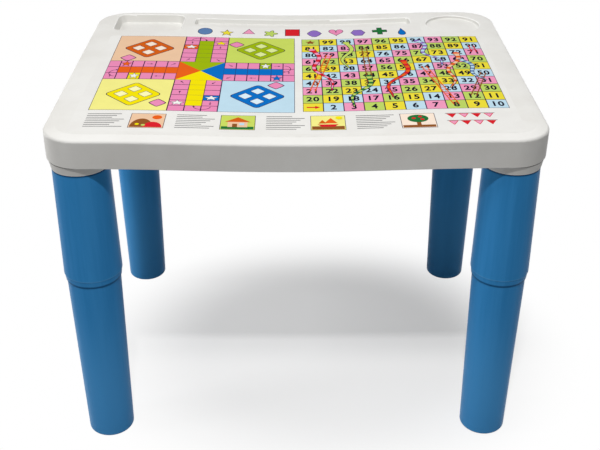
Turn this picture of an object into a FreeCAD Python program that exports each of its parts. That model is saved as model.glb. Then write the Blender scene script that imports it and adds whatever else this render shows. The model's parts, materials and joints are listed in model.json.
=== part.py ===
# Children's activity table: a moulded white top with wells and a printed film, on four two-piece push-fit legs.
# Millimetres. X runs along the table's width, Y towards the side with the wells, Z up.
# The origin is on the floor, under the middle of the top.

import FreeCAD, Part
import math
import os
import Sketcher

SIZES = {
    # Overall size and the outline of the top.
    "table_width": 600.0,
    "table_depth": 475.0,
    "table_height": 455.0,
    "corner_radius": 46.0,
    # Shell of the top: plate, skirt and the sloping border between them.
    "top_thickness": 3.0,
    "skirt_height": 38.0,
    "skirt_wall": 3.0,
    "skirt_foot_round": 0.8,
    "border_width": 15.0,
    "border_drop": 2.5,
    "edge_round": 4.0,
    # How far a rib, a socket or a well's wall runs into the wall that it grows from.
    "weld": 0.4,
    # Stiffening ribs under the plate.
    "rib_thickness": 2.0,
    "rib_height": 9.0,
    "long_rib_count": 3,
    "cross_rib_count": 4,
    # Leg sockets and the collars that show below the skirt.
    "collar_drop": 12.0,
    "collar_step": 0.5,
    "collar_corner_gap": 0.4,
    "collar_round": 0.8,
    "socket_root_height": 10.0,
    # Push fits of the legs.
    "plug_clearance": 0.4,
    "plug_taper": 0.4,
    "plug_lead_in": 1.2,
    # Upper leg.
    "upper_leg_length": 157.0,
    "leg_top_radius": 34.7,
    "lip_length": 9.0,
    "lip_wall": 2.6,
    "lip_flare": 1.0,
    "lip_step": 0.6,
    "lip_round": 0.25,
    "neck_step": 2.8,
    "neck_length": 29.0,
    "neck_wall": 2.6,
    "upper_bore_taper": 0.6,
    # Lower leg.
    "shoulder_radius": 34.0,
    "shoulder_round": 0.8,
    "foot_radius": 30.3,
    "foot_round": 4.0,
    "foot_floor": 4.0,
    "foot_rim_width": 6.0,
    "foot_recess": 1.0,
    "foot_wall": 3.0,
    "spigot_step": 1.8,
    "spigot_length": 50.0,
    "spigot_wall": 2.2,
    # Eraser well, at the back left.
    "eraser_side_gap": 29.0,
    "eraser_back_gap": 17.0,
    "eraser_width": 101.0,
    "eraser_depth": 73.5,
    "eraser_corner": 13.0,
    "eraser_drop": 12.0,
    "eraser_wall_run": 4.0,
    # Pen tray, along the back between the other two wells.
    "tray_back_gap": 31.5,
    "tray_eraser_gap": 17.0,
    "tray_cup_gap": 22.5,
    "tray_depth": 30.0,
    "tray_corner": 6.0,
    "tray_drop": 6.5,
    "tray_wall_run": 4.0,
    # Cup recess, at the back right.
    "cup_side_gap": 24.5,
    "cup_back_gap": 25.5,
    "cup_radius": 39.5,
    "cup_drop": 5.0,
    # Shared by the wells.
    "well_wall": 2.5,
    "well_rim_round": 1.5,
    "well_floor_round": 2.5,
    # Printed film: a wide sheet, with a tab between the eraser well and the cup recess.
    "film_thickness": 0.25,
    "film_side_gap": 31.0,
    "film_front_gap": 24.5,
    "film_eraser_gap": 25.0,
    "film_tab_gap": 10.0,
    "film_tray_gap": 8.5,
    "film_corner": 4.0,
}

CORNERS = {
    "front_left": (-1, -1),
    "front_right": (1, -1),
    "back_left": (-1, 1),
    "back_right": (1, 1),
}

# Two places closer than this are the same one.
NEAR = 0.01


class Size:
    """A length as an expression of the sheet, together with the number that it has now."""

    def __init__(self, text, number):
        self.text = text
        self.number = number

    def combined(self, sign, other, number):
        return Size(f"({self.text} {sign} {other.text})", number)

    def __add__(self, other):
        return self.combined("+", other, self.number + other.number)

    def __sub__(self, other):
        return self.combined("-", other, self.number - other.number)

    def __mul__(self, other):
        if not isinstance(other, Size):
            other = Size(repr(other), other)
        return self.combined("*", other, self.number * other.number)

    def __truediv__(self, other):
        if not isinstance(other, Size):
            other = Size(repr(other), other)
        return self.combined("/", other, self.number / other.number)

    def __neg__(self):
        return self * -1


def size(alias):
    return Size(f"sizes.{alias}", SIZES[alias])


def larger(first, second):
    return Size(f"max({first.text}; {second.text})", max(first.number, second.number))


ZERO = Size("0", 0.0)
ONE = Size("1", 1.0)

# Heights.
TOP = size("table_height")
PLATE_UNDERSIDE = TOP - size("top_thickness")
BORDER_FOOT = TOP - size("border_drop")
SKIRT_BOTTOM = TOP - size("skirt_height")
COLLAR_BOTTOM = SKIRT_BOTTOM - size("collar_drop")
LEG_SEAM = COLLAR_BOTTOM - size("upper_leg_length")

# The top's edges, and the inside of its skirt.
SIDE = size("table_width") / 2
BACK = size("table_depth") / 2
INNER_SIDE = SIDE - size("skirt_wall")
INNER_BACK = BACK - size("skirt_wall")

# Radii of the plugs and sockets, and where the legs stand.
NECK_RADIUS = size("leg_top_radius") - size("neck_step")
SOCKET_RADIUS = NECK_RADIUS + size("plug_clearance")
COLLAR_TIP_RADIUS = size("leg_top_radius") + size("collar_step")
COLLAR_FLARE = size("skirt_wall") - size("collar_corner_gap") - size("weld")
COLLAR_ROOT_RADIUS = COLLAR_TIP_RADIUS + COLLAR_FLARE
SPIGOT_RADIUS = size("shoulder_radius") - size("spigot_step")
UPPER_BORE_RADIUS = SPIGOT_RADIUS + size("plug_clearance")
LIP_END_RADIUS = UPPER_BORE_RADIUS + size("lip_wall")
LIP_ROOT_RADIUS = LIP_END_RADIUS + size("lip_flare")
LEG_FLARE_RADIUS = LIP_ROOT_RADIUS + size("lip_step")
CORNER_ROOM = size("corner_radius") - size("collar_corner_gap") - COLLAR_ROOT_RADIUS
LEG_INSET = larger(
    COLLAR_ROOT_RADIUS + size("skirt_wall") - size("weld"),
    size("corner_radius") - CORNER_ROOM / math.sqrt(2),
)
LEG_X = SIDE - LEG_INSET
LEG_Y = BACK - LEG_INSET

# Outlines of the wells on the top.
ERASER_LEFT = size("eraser_side_gap") - SIDE
ERASER_RIGHT = ERASER_LEFT + size("eraser_width")
ERASER_BACK = BACK - size("eraser_back_gap")
ERASER_FRONT = ERASER_BACK - size("eraser_depth")
CUP_X = SIDE - size("cup_side_gap") - size("cup_radius")
CUP_Y = BACK - size("cup_back_gap") - size("cup_radius")
CUP_LEFT = CUP_X - size("cup_radius")
TRAY_LEFT = ERASER_RIGHT + size("tray_eraser_gap")
TRAY_RIGHT = CUP_LEFT - size("tray_cup_gap")
TRAY_BACK = BACK - size("tray_back_gap")
TRAY_FRONT = TRAY_BACK - size("tray_depth")


def make_sheet(doc):
    """Puts the driving dimensions in a sheet, one alias each."""
    sheet = doc.addObject("Spreadsheet::Sheet", "sizes")
    for row, (alias, number) in enumerate(SIZES.items(), start=1):
        sheet.set(f"A{row}", alias)
        sheet.set(f"B{row}", str(number))
        sheet.setAlias(f"B{row}", alias)
    doc.recompute()


def new_body(doc, label):
    body = doc.addObject("PartDesign::Body", label)
    body.Label = label
    return body


def origin_feature(body, role):
    """One of the body's own planes or axes."""
    return next(feature for feature in body.Origin.OriginFeatures if feature.Role == role)


def new_sketch(body, name, plane, offset):
    """Empty sketch on one of the body's planes, moved by an offset of three sizes along its own axes."""
    sketch = body.newObject("Sketcher::SketchObject", name)
    sketch.AttachmentSupport = [(origin_feature(body, plane), "")]
    sketch.MapMode = "FlatFace"
    for axis, distance in zip("xyz", offset):
        sketch.setExpression(f"AttachmentOffset.Base.{axis}", distance.text)
    return sketch


def dimension(sketch, kind, *args):
    """Adds a dimension to a sketch, bound to the size that comes last."""
    *places, length = args
    index = sketch.addConstraint(Sketcher.Constraint(kind, *places, length.number))
    sketch.setExpression(f"Constraints[{index}]", length.text)


def polygon(body, name, points, plane="XY_Plane", offset=(ZERO, ZERO, ZERO)):
    """Sketch with straight sides. Its corners are pairs of sizes, and a size of ZERO puts one on the axis."""
    sketch = new_sketch(body, name, plane, offset)
    places = [FreeCAD.Vector(x.number, y.number, 0) for x, y in points]
    count = len(points)
    for i in range(count):
        sketch.addGeometry(Part.LineSegment(places[i], places[(i + 1) % count]))
    for i in range(count):
        sketch.addConstraint(Sketcher.Constraint("Coincident", i, 2, (i + 1) % count, 1))
    for i, (x, y) in enumerate(points):
        for kind, axis, length in (("DistanceX", -2, x), ("DistanceY", -1, y)):
            if length is ZERO:
                sketch.addConstraint(Sketcher.Constraint("PointOnObject", i, 1, axis))
            else:
                dimension(sketch, kind, -1, 1, i, 1, length)
    return sketch


def rectangle(body, name, height, left, right, front, back):
    corners = [(left, front), (right, front), (right, back), (left, back)]
    return polygon(body, name, corners, offset=(ZERO, ZERO, height))


def rounded_rectangle(body, name, height, left, right, front, back, radius):
    """Sketch of a level rectangle with round corners."""
    sketch = new_sketch(body, name, "XY_Plane", (ZERO, ZERO, height))
    r = radius.number
    centres = [
        (right.number - r, back.number - r),
        (left.number + r, back.number - r),
        (left.number + r, front.number + r),
        (right.number - r, front.number + r),
    ]
    arcs = range(4)
    for i, (x, y) in enumerate(centres):
        circle = Part.Circle(FreeCAD.Vector(x, y, 0), FreeCAD.Vector(0, 0, 1), r)
        sketch.addGeometry(Part.ArcOfCircle(circle, i * math.pi / 2, (i + 1) * math.pi / 2))
    sides = range(4, 8)
    for i in arcs:
        start = sketch.Geometry[arcs[i]].EndPoint
        end = sketch.Geometry[arcs[(i + 1) % 4]].StartPoint
        sketch.addGeometry(Part.LineSegment(start, end))
    for i in arcs:
        sketch.addConstraint(Sketcher.Constraint("Tangent", arcs[i], 2, sides[i], 1))
        sketch.addConstraint(Sketcher.Constraint("Tangent", sides[i], 2, arcs[(i + 1) % 4], 1))
    back_side, left_side, front_side, right_side = sides
    for side in (back_side, front_side):
        sketch.addConstraint(Sketcher.Constraint("Horizontal", side))
    for side in (left_side, right_side):
        sketch.addConstraint(Sketcher.Constraint("Vertical", side))
    for i in arcs[1:]:
        sketch.addConstraint(Sketcher.Constraint("Equal", arcs[0], arcs[i]))
    dimension(sketch, "Radius", arcs[0], radius)
    dimension(sketch, "DistanceX", -1, 1, left_side, 1, left)
    dimension(sketch, "DistanceX", -1, 1, right_side, 1, right)
    dimension(sketch, "DistanceY", -1, 1, front_side, 1, front)
    dimension(sketch, "DistanceY", -1, 1, back_side, 1, back)
    return sketch


def circle(body, name, height, x, y, radius):
    """Sketch of one level circle."""
    sketch = new_sketch(body, name, "XY_Plane", (ZERO, ZERO, height))
    centre = FreeCAD.Vector(x.number, y.number, 0)
    sketch.addGeometry(Part.Circle(centre, FreeCAD.Vector(0, 0, 1), radius.number))
    dimension(sketch, "Radius", 0, radius)
    dimension(sketch, "DistanceX", -1, 1, 0, 3, x)
    dimension(sketch, "DistanceY", -1, 1, 0, 3, y)
    return sketch


def extrude(body, kind, name, sketch, length, upwards):
    """Pad or Pocket of a level sketch."""
    feature = body.newObject(f"PartDesign::{kind}", name)
    feature.Profile = sketch
    feature.setExpression("Length", length.text)
    feature.Reversed = upwards if kind == "Pocket" else not upwards
    return feature


def loft(body, kind, name, first, second):
    """AdditiveLoft or SubtractiveLoft with straight walls between two sketches."""
    feature = body.newObject(f"PartDesign::{kind}", name)
    feature.Profile = first
    feature.Sections = [second]
    feature.Ruled = True
    return feature


def revolve(body, name, sketch):
    """Full turn of a sketch about its own upright axis."""
    feature = body.newObject("PartDesign::Revolution", name)
    feature.Profile = sketch
    feature.ReferenceAxis = (sketch, ["V_Axis"])
    feature.Angle = 360
    return feature


def round_edges(body, name, radius, test):
    """Fillet on the edges of the body so far whose start, middle and end pass a test."""
    base = body.Tip
    body.Document.recompute()
    names = []
    for index, edge in enumerate(base.Shape.Edges, start=1):
        first, last = edge.ParameterRange
        points = [edge.valueAt(place) for place in (first, (first + last) / 2, last)]
        if test(points):
            names.append(f"Edge{index}")
    if not names:
        raise RuntimeError(f"{body.Label}: no edge for {name}")
    feature = body.newObject("PartDesign::Fillet", name)
    feature.Base = (base, names)
    feature.setExpression("Radius", radius.text)
    return feature


def level(points, height):
    return all(abs(point.z - height.number) < NEAR for point in points)


def inside(points, left, right, front, back):
    return all(
        left.number - NEAR < point.x < right.number + NEAR and front.number - NEAR < point.y < back.number + NEAR
        for point in points
    )


def upright(points, low, high):
    """Whether an edge runs straight up from one height to another."""
    start, _, end = sorted(points, key=lambda point: point.z)
    return (
        math.hypot(start.x - end.x, start.y - end.y) < NEAR
        and abs(start.z - low.number) < NEAR
        and abs(end.z - high.number) < NEAR
    )


def ring(points, height, radius):
    """Whether an edge lies on a level circle about the body's own upright axis."""
    return level(points, height) and all(abs(math.hypot(p.x, p.y) - radius.number) < NEAR for p in points)


def top_outline(body, name, height, inset):
    """The table's outline, drawn in by an inset all round."""
    return rounded_rectangle(
        body, name, height, inset - SIDE, SIDE - inset, inset - BACK, BACK - inset, size("corner_radius") - inset
    )


def add_shell(body):
    """Top plate, sloping border and skirt, hollow underneath at an even wall."""
    skirt = top_outline(body, "skirt_outline", SKIRT_BOTTOM, ZERO)
    extrude(body, "Pad", "skirt", skirt, BORDER_FOOT - SKIRT_BOTTOM, upwards=True)
    border_foot = top_outline(body, "border_foot", BORDER_FOOT, ZERO)
    border_crease = top_outline(body, "border_crease", TOP, size("border_width"))
    loft(body, "AdditiveLoft", "border", border_foot, border_crease)
    round_edges(body, "edge_round", size("edge_round"), lambda points: level(points, BORDER_FOOT))

    wall = size("skirt_wall")
    slope_at_wall = size("border_drop") * (ONE - wall / size("border_width"))
    hollow_shoulder = PLATE_UNDERSIDE - slope_at_wall
    mouth = top_outline(body, "hollow_mouth", SKIRT_BOTTOM, wall)
    extrude(body, "Pocket", "hollow", mouth, hollow_shoulder - SKIRT_BOTTOM, upwards=True)
    shoulder = top_outline(body, "hollow_shoulder", hollow_shoulder, wall)
    ceiling = top_outline(body, "hollow_ceiling", PLATE_UNDERSIDE, size("border_width"))
    loft(body, "SubtractiveLoft", "border_underside", shoulder, ceiling)
    round_edges(
        body,
        "skirt_foot_round",
        size("skirt_foot_round"),
        lambda points: level(points, SKIRT_BOTTOM),
    )


def add_ribs(body):
    """Two rows of ribs that cross under the plate and divide it into equal bays."""
    half = size("rib_thickness") / 2
    rib_top = PLATE_UNDERSIDE + size("weld")
    length = size("rib_height") + size("weld")
    reach_x = INNER_SIDE + size("weld")
    reach_y = INNER_BACK + size("weld")
    long_bay = size("table_depth") / (size("long_rib_count") + ONE)
    cross_bay = size("table_width") / (size("cross_rib_count") + ONE)
    first_long = long_bay - BACK
    first_cross = cross_bay - SIDE
    rows = (
        ("long", "Y_Axis", long_bay, (-reach_x, reach_x, first_long - half, first_long + half)),
        ("cross", "X_Axis", cross_bay, (first_cross - half, first_cross + half, -reach_y, reach_y)),
    )
    for name, axis, bay, sides in rows:
        sketch = rectangle(body, f"{name}_rib_outline", rib_top, *sides)
        rib = extrude(body, "Pad", f"{name}_rib", sketch, length, upwards=False)
        body.Document.recompute()
        pattern = body.newObject("PartDesign::LinearPattern", f"{name}_ribs")
        pattern.Originals = [rib]
        pattern.Direction = (origin_feature(body, axis), [""])
        pattern.setExpression("Length", (bay * (size(f"{name}_rib_count") - ONE)).text)
        pattern.setExpression("Occurrences", size(f"{name}_rib_count").text)
        body.Tip = pattern


def add_sockets(body):
    """Four leg sockets: a tube under the plate that swells into the skirt and ends below it in a tapering collar."""
    root_top = SKIRT_BOTTOM + size("socket_root_height")
    tube_top = PLATE_UNDERSIDE + size("weld")
    profile = [
        (SOCKET_RADIUS, COLLAR_BOTTOM),
        (COLLAR_TIP_RADIUS, COLLAR_BOTTOM),
        (COLLAR_ROOT_RADIUS, SKIRT_BOTTOM),
        (COLLAR_ROOT_RADIUS, root_top),
        (COLLAR_TIP_RADIUS, root_top + COLLAR_FLARE),
        (COLLAR_TIP_RADIUS, tube_top),
        (SOCKET_RADIUS, tube_top),
    ]
    for corner, (side_x, side_y) in CORNERS.items():
        # The plane's normal points to the front, so the depth offset has the opposite sign.
        offset = (LEG_X * side_x, ZERO, LEG_Y * -side_y)
        sketch = polygon(body, f"socket_profile_{corner}", profile, plane="XZ_Plane", offset=offset)
        revolve(body, f"socket_{corner}", sketch)
    round_edges(
        body,
        "collar_round",
        size("collar_round"),
        lambda points: level(points, COLLAR_BOTTOM) and on_collar_rim(points),
    )


def on_collar_rim(points):
    """Whether an edge lies on the outer rim of a collar's lower end."""
    return all(
        abs(math.hypot(abs(p.x) - LEG_X.number, abs(p.y) - LEG_Y.number) - COLLAR_TIP_RADIUS.number) < NEAR
        for p in points
    )


def add_long_well(body, name, sides):
    """Well with round corners and sloping walls: its housing under the plate, then the well itself."""
    run = size(f"{name}_wall_run")
    wall = size("well_wall")
    floor = TOP - size(f"{name}_drop")
    corner = size(f"{name}_corner")
    housing_top = PLATE_UNDERSIDE + size("weld")
    upper = rounded_rectangle(body, f"{name}_housing_mouth", housing_top, *grown(sides, wall), corner + wall)
    lower = rounded_rectangle(
        body, f"{name}_housing_floor", floor - wall, *grown(sides, wall - run), corner + wall - run
    )
    loft(body, "AdditiveLoft", f"{name}_housing", upper, lower)
    mouth = rounded_rectangle(body, f"{name}_mouth", TOP, *sides, corner)
    bottom = rounded_rectangle(body, f"{name}_floor", floor, *grown(sides, -run), corner - run)
    loft(body, "SubtractiveLoft", f"{name}_well", mouth, bottom)
    finish_well(body, name, sides, floor, grown(sides, -run))


def grown(sides, distance):
    """Left, right, front and back of a rectangle, each moved outwards."""
    left, right, front, back = sides
    return left - distance, right + distance, front - distance, back + distance


def add_cup_recess(body):
    """Round recess for a cup, with its housing under the plate."""
    radius = size("cup_radius")
    wall = size("well_wall")
    floor = TOP - size("cup_drop")
    housing_top = PLATE_UNDERSIDE + size("weld")
    outer = circle(body, "cup_housing_outline", housing_top, CUP_X, CUP_Y, radius + wall)
    extrude(body, "Pad", "cup_housing", outer, housing_top - floor + wall, upwards=False)
    mouth = circle(body, "cup_outline", TOP, CUP_X, CUP_Y, radius)
    extrude(body, "Pocket", "cup_well", mouth, size("cup_drop"), upwards=False)
    sides = (CUP_LEFT, CUP_X + radius, CUP_Y - radius, CUP_Y + radius)
    finish_well(body, "cup", sides, floor, sides)


def finish_well(body, name, sides, floor, floor_sides):
    """Rounds the floor and the rim of a well."""
    round_edges(
        body,
        f"{name}_floor_round",
        size("well_floor_round"),
        lambda points: level(points, floor) and inside(points, *floor_sides),
    )
    round_edges(
        body,
        f"{name}_rim_round",
        size("well_rim_round"),
        lambda points: level(points, TOP) and inside(points, *sides),
    )


def film_outline(body, name, height):
    """Outline that the film and its recess share."""
    left = size("film_side_gap") - SIDE
    right = -left
    front = size("film_front_gap") - BACK
    back = ERASER_FRONT - size("film_eraser_gap")
    tab_left = ERASER_RIGHT + size("film_tab_gap")
    tab_right = CUP_LEFT - size("film_tab_gap")
    tab_back = TRAY_FRONT - size("film_tray_gap")
    corners = [
        (left, front),
        (right, front),
        (right, back),
        (tab_right, back),
        (tab_right, tab_back),
        (tab_left, tab_back),
        (tab_left, back),
        (left, back),
    ]
    return polygon(body, name, corners, offset=(ZERO, ZERO, height))


def round_film_corners(body, name):
    film_floor = TOP - size("film_thickness")
    round_edges(body, name, size("film_corner"), lambda points: upright(points, film_floor, TOP))


def make_tabletop(doc):
    body = new_body(doc, "tabletop")
    add_shell(body)
    add_ribs(body)
    add_sockets(body)
    add_long_well(body, "eraser", (ERASER_LEFT, ERASER_RIGHT, ERASER_FRONT, ERASER_BACK))
    add_long_well(body, "tray", (TRAY_LEFT, TRAY_RIGHT, TRAY_FRONT, TRAY_BACK))
    add_cup_recess(body)
    recess = film_outline(body, "film_recess_outline", TOP)
    extrude(body, "Pocket", "film_recess", recess, size("film_thickness"), upwards=False)
    round_film_corners(body, "film_recess_corners")
    return body


def make_film(doc):
    body = new_body(doc, "printed_film")
    outline = film_outline(body, "film_outline", TOP)
    extrude(body, "Pad", "film", outline, size("film_thickness"), upwards=False)
    round_film_corners(body, "film_corners")
    return body


def stand_at_corner(body, corner):
    side_x, side_y = CORNERS[corner]
    body.setExpression("Placement.Base.x", (LEG_X * side_x).text)
    body.setExpression("Placement.Base.y", (LEG_Y * side_y).text)


def make_upper_leg(doc, corner):
    """Tube that widens downwards and steps in to a tapering lip, with a closed neck that plugs into the socket."""
    body = new_body(doc, f"upper_leg_{corner}")
    neck_top = COLLAR_BOTTOM + size("neck_length")
    neck_tip_radius = NECK_RADIUS - size("plug_taper")
    neck_bore_radius = neck_tip_radius - size("neck_wall")
    bore_top_radius = UPPER_BORE_RADIUS - size("upper_bore_taper")
    neck_bore_bottom = COLLAR_BOTTOM - size("neck_wall")
    lead_in = size("plug_lead_in")
    lip_top = LEG_SEAM + size("lip_length")
    profile = [
        (UPPER_BORE_RADIUS, LEG_SEAM),
        (LIP_END_RADIUS, LEG_SEAM),
        (LIP_ROOT_RADIUS, lip_top),
        (LEG_FLARE_RADIUS, lip_top),
        (size("leg_top_radius"), COLLAR_BOTTOM),
        (NECK_RADIUS, COLLAR_BOTTOM),
        (neck_tip_radius, neck_top - lead_in),
        (neck_tip_radius - lead_in, neck_top),
        (ZERO, neck_top),
        (ZERO, neck_top - size("neck_wall")),
        (neck_bore_radius, neck_top - size("neck_wall")),
        (neck_bore_radius, neck_bore_bottom),
        (bore_top_radius, neck_bore_bottom - (bore_top_radius - neck_bore_radius)),
    ]
    revolve(body, "tube", polygon(body, "tube_profile", profile, plane="XZ_Plane"))
    round_edges(
        body,
        "shoulder_round",
        size("shoulder_round"),
        lambda points: ring(points, COLLAR_BOTTOM, size("leg_top_radius")),
    )
    round_edges(
        body,
        "lip_round",
        size("lip_round"),
        lambda points: ring(points, lip_top, LEG_FLARE_RADIUS),
    )
    stand_at_corner(body, corner)
    return body


def make_lower_leg(doc, corner):
    """Tube that narrows to a closed round foot, with an open spigot that plugs into the upper leg."""
    body = new_body(doc, f"lower_leg_{corner}")
    spigot_top = LEG_SEAM + size("spigot_length")
    spigot_tip_radius = SPIGOT_RADIUS - size("plug_taper")
    spigot_bore_radius = spigot_tip_radius - size("spigot_wall")
    foot_bore_radius = size("foot_radius") - size("foot_wall")
    recess_radius = size("foot_radius") - size("foot_round") - size("foot_rim_width")
    floor_top = size("foot_recess") + size("foot_floor")
    lead_in = size("plug_lead_in")
    profile = [
        (ZERO, size("foot_recess")),
        (recess_radius, size("foot_recess")),
        (recess_radius, ZERO),
        (size("foot_radius"), ZERO),
        (size("shoulder_radius"), LEG_SEAM),
        (SPIGOT_RADIUS, LEG_SEAM),
        (spigot_tip_radius, spigot_top - lead_in),
        (spigot_tip_radius - lead_in, spigot_top),
        (spigot_bore_radius, spigot_top),
        (foot_bore_radius, floor_top),
        (ZERO, floor_top),
    ]
    revolve(body, "tube", polygon(body, "tube_profile", profile, plane="XZ_Plane"))
    round_edges(
        body,
        "foot_round",
        size("foot_round"),
        lambda points: ring(points, ZERO, size("foot_radius")),
    )
    round_edges(
        body,
        "shoulder_round",
        size("shoulder_round"),
        lambda points: ring(points, LEG_SEAM, size("shoulder_radius")),
    )
    stand_at_corner(body, corner)
    return body


def check_features(body):
    """Stops if a feature that should add or take away material doesn't."""
    grows = ("PartDesign::Pad", "PartDesign::AdditiveLoft", "PartDesign::Revolution", "PartDesign::LinearPattern")
    shrinks = ("PartDesign::Pocket", "PartDesign::SubtractiveLoft")
    before = 0.0
    for feature in body.Group:
        if not feature.isDerivedFrom("PartDesign::Feature"):
            continue
        after = feature.Shape.Volume
        if (feature.TypeId in grows and after <= before) or (feature.TypeId in shrinks and after >= before):
            raise RuntimeError(f"{body.Label}: {feature.Name} takes the volume from {before} to {after}")
        before = after


def main():
    doc = FreeCAD.newDocument("activity_table")
    make_sheet(doc)
    bodies = [make_tabletop(doc), make_film(doc)]
    bodies += [make_upper_leg(doc, corner) for corner in CORNERS]
    bodies += [make_lower_leg(doc, corner) for corner in CORNERS]
    doc.recompute()

    for item in doc.Objects:
        if "Invalid" in item.State or "Error" in item.State:
            raise RuntimeError(f"{item.Label}: {item.State}")
    for body in bodies:
        if body.Shape.isNull() or not body.Shape.isValid() or len(body.Shape.Solids) != 1:
            raise RuntimeError(f"{body.Label}: not one valid solid")
        check_features(body)

    os.makedirs("parts", exist_ok=True)
    for body in bodies:
        body.Shape.exportStep(f"parts/{body.Label}.step")


main()
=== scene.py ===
import json
import math

import bmesh
import bpy
import numpy
from mathutils import Euler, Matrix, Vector

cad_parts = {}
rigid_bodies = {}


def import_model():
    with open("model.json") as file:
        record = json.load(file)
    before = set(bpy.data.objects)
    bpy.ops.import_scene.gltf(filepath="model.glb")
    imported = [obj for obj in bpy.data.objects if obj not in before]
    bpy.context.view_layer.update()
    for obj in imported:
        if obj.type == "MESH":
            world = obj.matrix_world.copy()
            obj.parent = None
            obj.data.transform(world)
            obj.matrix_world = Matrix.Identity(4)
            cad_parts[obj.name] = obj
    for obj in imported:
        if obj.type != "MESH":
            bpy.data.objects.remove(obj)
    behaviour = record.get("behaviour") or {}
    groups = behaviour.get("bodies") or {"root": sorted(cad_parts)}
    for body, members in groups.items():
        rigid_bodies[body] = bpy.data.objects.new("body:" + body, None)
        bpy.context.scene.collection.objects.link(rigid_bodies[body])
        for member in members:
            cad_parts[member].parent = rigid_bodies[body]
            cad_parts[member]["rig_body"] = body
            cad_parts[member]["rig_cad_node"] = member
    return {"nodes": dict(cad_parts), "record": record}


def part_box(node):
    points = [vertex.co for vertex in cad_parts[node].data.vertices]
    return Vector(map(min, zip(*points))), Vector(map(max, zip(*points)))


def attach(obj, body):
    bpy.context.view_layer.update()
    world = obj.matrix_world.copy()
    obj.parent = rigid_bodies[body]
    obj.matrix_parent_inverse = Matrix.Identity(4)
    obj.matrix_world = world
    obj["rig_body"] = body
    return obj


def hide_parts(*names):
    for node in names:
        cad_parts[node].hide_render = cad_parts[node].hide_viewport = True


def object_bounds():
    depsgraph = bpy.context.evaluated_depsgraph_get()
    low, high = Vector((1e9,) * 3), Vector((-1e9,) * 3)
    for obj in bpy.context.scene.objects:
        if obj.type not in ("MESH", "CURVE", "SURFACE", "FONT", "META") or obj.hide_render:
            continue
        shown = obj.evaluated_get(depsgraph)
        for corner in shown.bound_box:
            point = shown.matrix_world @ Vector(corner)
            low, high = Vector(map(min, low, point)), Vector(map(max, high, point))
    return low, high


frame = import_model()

bl_info = {
    "name": "Activity Table",
    "version": (1, 0, 0),
    "blender": (4, 5, 0),
    "location": "3D View > Sidebar > Table",
    "description": "Finishes the moulded table and prints the game boards on its film",
    "category": "Object",
}

MM = 0.001
CAD_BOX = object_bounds()
FILM_LOW, FILM_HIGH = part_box("printed_film")
# Heights of a leg's foot, of the seam between its two pieces, of the upper edge of the lip round that seam,
# and of the lower ends of the collars and of the skirt.
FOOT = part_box("lower_leg_front_left")[0].z
LEG_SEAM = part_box("upper_leg_front_left")[0].z
LEG_LIP = LEG_SEAM + 9.0 * MM
COLLAR_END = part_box("tabletop")[0].z
SKIRT_END = COLLAR_END + 12.0 * MM
LEG_NODES = [name for name in frame["nodes"] if "_leg_" in name]


# Settings.


def linear(value):
    """Scene value of an sRGB channel that runs from 0 to 255."""
    part = value / 255
    return part / 12.92 if part <= 0.04045 else ((part + 0.055) / 1.055) ** 2.4


def number(name, description, default, **limits):
    return bpy.props.FloatProperty(name=name, description=description, default=default, **limits)


def length(name, description, millimetres):
    return number(name, description, millimetres * MM, min=0.0, precision=5, unit="LENGTH")


def share(name, description, value):
    return number(name, description, value, min=0.0, max=1.0, subtype="FACTOR")


def power(name, description, watts):
    return number(name, description, watts, min=0.0, unit="POWER")


def rotation(name, description, degrees):
    return number(name, description, math.radians(degrees), unit="ROTATION")


def triple(name, description, default, **limits):
    return bpy.props.FloatVectorProperty(
        name=name, description=description, default=default, size=3, **limits
    )


def colour(name, description, *channels):
    return triple(name, description, [linear(value) for value in channels], min=0.0, max=1.0, subtype="COLOR")


class TablePlastics(bpy.types.PropertyGroup):
    """Colours of the moulded pieces"""

    white: colour("White", "Moulded top", 229, 228, 224)
    white_patch: colour("White Patches", "Duller patches of the moulded top", 221, 219, 214)
    film: colour("Film", "Unprinted film", 229, 228, 224)
    film_patch: colour("Film Patches", "Duller patches of the film", 223, 221, 217)
    blue: colour("Blue", "Moulded legs", 62, 149, 214)
    blue_streak: colour("Blue Streaks", "Darker flow lines in the legs", 53, 139, 203)
    # Painted shade on the walls of the hollows in the top.
    white_dust: colour("White Dust", "Walls of the hollows in the top, greyed by use", 213, 212, 207)
    # Painted highlight on the rims of the hollows, the front of the border and the collars' lower edges.
    white_rub: colour("White Rub", "Rims and front border of the top, rubbed clean", 243, 242, 239)
    # Painted shadow on the collar, where the skirt overhangs it.
    white_crease: colour("White Crease", "Crease between the skirt and a collar", 122, 120, 116)
    # The legs turn paler from the seam towards the floor.
    blue_low: colour("Low Blue", "Legs close to the floor, paler with dust", 77, 159, 222)
    # Painted highlight along the edge of the lip round a leg's seam.
    blue_rub: colour("Blue Rub", "Edge of the lip round a leg's seam, rubbed pale", 112, 186, 236)
    # Painted shade in the seams of the legs, under the collars and round the feet.
    seam: colour("Seam", "Dust in the seams of the legs", 8, 48, 84)
    sag: length("Sag", "How far the middle of the top hangs below its ends", 4.6)
    sag_reach: length("Sag Reach", "From the middle of the top to the sag's end at the leg sockets", 245.0)


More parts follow.
